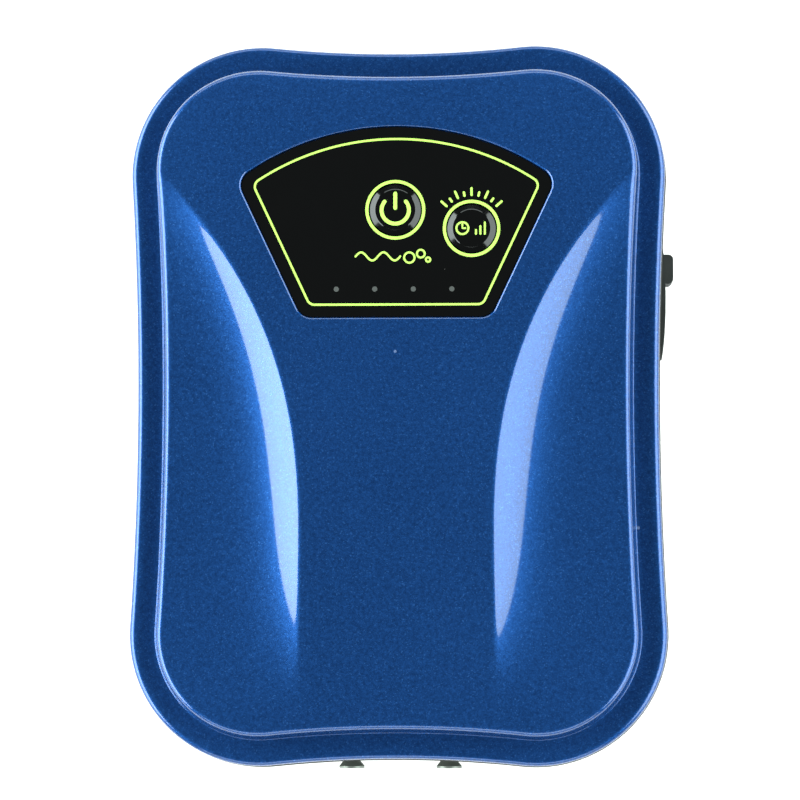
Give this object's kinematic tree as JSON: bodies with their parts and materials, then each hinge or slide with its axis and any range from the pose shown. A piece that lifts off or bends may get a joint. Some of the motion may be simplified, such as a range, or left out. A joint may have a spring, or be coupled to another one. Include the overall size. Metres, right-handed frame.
{
  "type": "aquarium air pump",
  "caption": "Portable battery-powered aquarium air pump with a blue hourglass case, sloping black touch panel and hose outlets at one end.",
  "frame": {"origin": "middle of the plane that the feet rest on", "axes": "+Z out of the front face, +Y towards the control panel end, hose outlets point along -Y"},
  "size_m": [0.1066, 0.1415, 0.0421],
  "materials": {
    "case_blue": "metallic blue lacquer over moulded plastic",
    "case_black": "fine-grained black",
    "seal_rubber": "matt",
    "panel_black": "polished",
    "light_guide": "clear moulded plastic, frosted tips",
    "cover_rubber": "soft matt",
    "nozzle_metal": "turned, satin nickel",
    "grommet_rubber": "matt",
    "screw_steel": "zinc plated",
    "felt": "pressed felt",
    "inner_plastic": "moulded",
    "board_green": "solder mask",
    "chip_black": "moulded",
    "connector_white": "moulded",
    "socket_steel": "drawn shell",
    "led_yellow": "clear lens over phosphor",
    "cell_wrap": "heat-shrunk sleeve over a metal can",
    "nickel": "nickel strip",
    "lead_red": "insulated wire",
    "lead_amber": "insulated wire",
    "lead_black": "insulated wire",
    "bracket_steel": "zinc-plated sheet",
    "core_steel": "laminated sheet, blued",
    "bobbin": "moulded",
    "copper": "enamelled wire",
    "head_plastic": "moulded",
    "flap_rubber": "silicone",
    "diaphragm_rubber": "matt",
    "arm_steel": "pressed sheet",
    "magnet": "nickel plated",
    "hose_silicone": "translucent silicone"
  },
  "bodies": {
    "case": {"front_shell": "case_blue", "rear_shell": "case_black", "shell_seal": "seal_rubber", "control_panel": "panel_black", "light_guide": "light_guide", "port_cover_anchor": "cover_rubber", "outlet_nozzle_left": "nozzle_metal", "outlet_nozzle_right": "nozzle_metal", "nozzle_grommet_left": "grommet_rubber", "nozzle_grommet_right": "grommet_rubber", "rubber_feet": "grommet_rubber", "case_screws": "screw_steel", "intake_felt": "felt", "intake_retainer": "inner_plastic", "main_board": "board_green", "board_screws": "screw_steel", "board_chips": "chip_black", "board_connectors": "connector_white", "power_switch_body": "chip_black", "timer_switch_body": "chip_black", "indicator_leds": "led_yellow", "charge_board": "board_green", "charge_board_screws": "screw_steel", "charge_socket": "socket_steel", "battery_cradle": "inner_plastic", "battery_cell_upper": "cell_wrap", "battery_cell_lower": "cell_wrap", "battery_tabs": "nickel", "battery_strap": "inner_plastic", "battery_leads": "lead_red", "coil_leads": "lead_amber", "charge_leads": "lead_black", "pump_bracket": "bracket_steel", "damper_grommets": "grommet_rubber", "bracket_screws": "screw_steel", "coil_core": "core_steel", "coil_bobbin": "bobbin", "coil_winding": "copper", "left_head": "head_plastic", "right_head": "head_plastic", "valve_plates": "inner_plastic", "valve_flaps": "flap_rubber", "left_diaphragm": "diaphragm_rubber", "right_diaphragm": "diaphragm_rubber", "arm_pivot_pins": "screw_steel", "pivot_clips": "bracket_steel", "outlet_hoses": "hose_silicone"},
    "power_button": {"power_button_cap": "panel_black", "power_switch_plunger": "connector_white"},
    "timer_button": {"timer_button_cap": "panel_black", "timer_switch_plunger": "connector_white"},
    "port_flap": {"port_cover": "cover_rubber"},
    "left_swing": {"left_arm": "arm_steel", "left_magnet": "magnet", "left_arm_screw": "screw_steel"},
    "right_swing": {"right_arm": "arm_steel", "right_magnet": "magnet", "right_arm_screw": "screw_steel"}
  },
  "joints": [
    {"name": "power_button_press", "type": "slide", "parent": "case", "child": "power_button", "axis": [0, 0, -1], "range_m": [0, 0.0005], "stiffness_N_per_m": 2500, "springref_m": -0.0002},
    {"name": "timer_button_press", "type": "slide", "parent": "case", "child": "timer_button", "axis": [0, 0, -1], "range_m": [0, 0.0005], "stiffness_N_per_m": 2500, "springref_m": -0.0002},
    {"name": "port_cover_hinge", "type": "hinge", "parent": "case", "child": "port_flap", "pos_m": [0.05211, 0.0122, 0.0165], "axis": [0, 0, -1], "range_deg": [0, 110]},
    {"name": "left_arm_pivot", "type": "hinge", "parent": "case", "child": "left_swing", "pos_m": [-0.02279, 0.003, 0.017], "axis": [0, 0, 1], "range_deg": [-2, 2], "stiffness_Nm_per_rad": 0.6, "deforming": ["left_diaphragm"]},
    {"name": "right_arm_pivot", "type": "hinge", "parent": "case", "child": "right_swing", "pos_m": [0.02279, 0.003, 0.017], "axis": [0, 0, 1], "range_deg": [-2, 2], "stiffness_Nm_per_rad": 0.6, "deforming": ["right_diaphragm"]}
  ],
  "couplings": [
    {"joint": "right_arm_pivot", "follows": "left_arm_pivot", "ratio": -1}
  ]
}
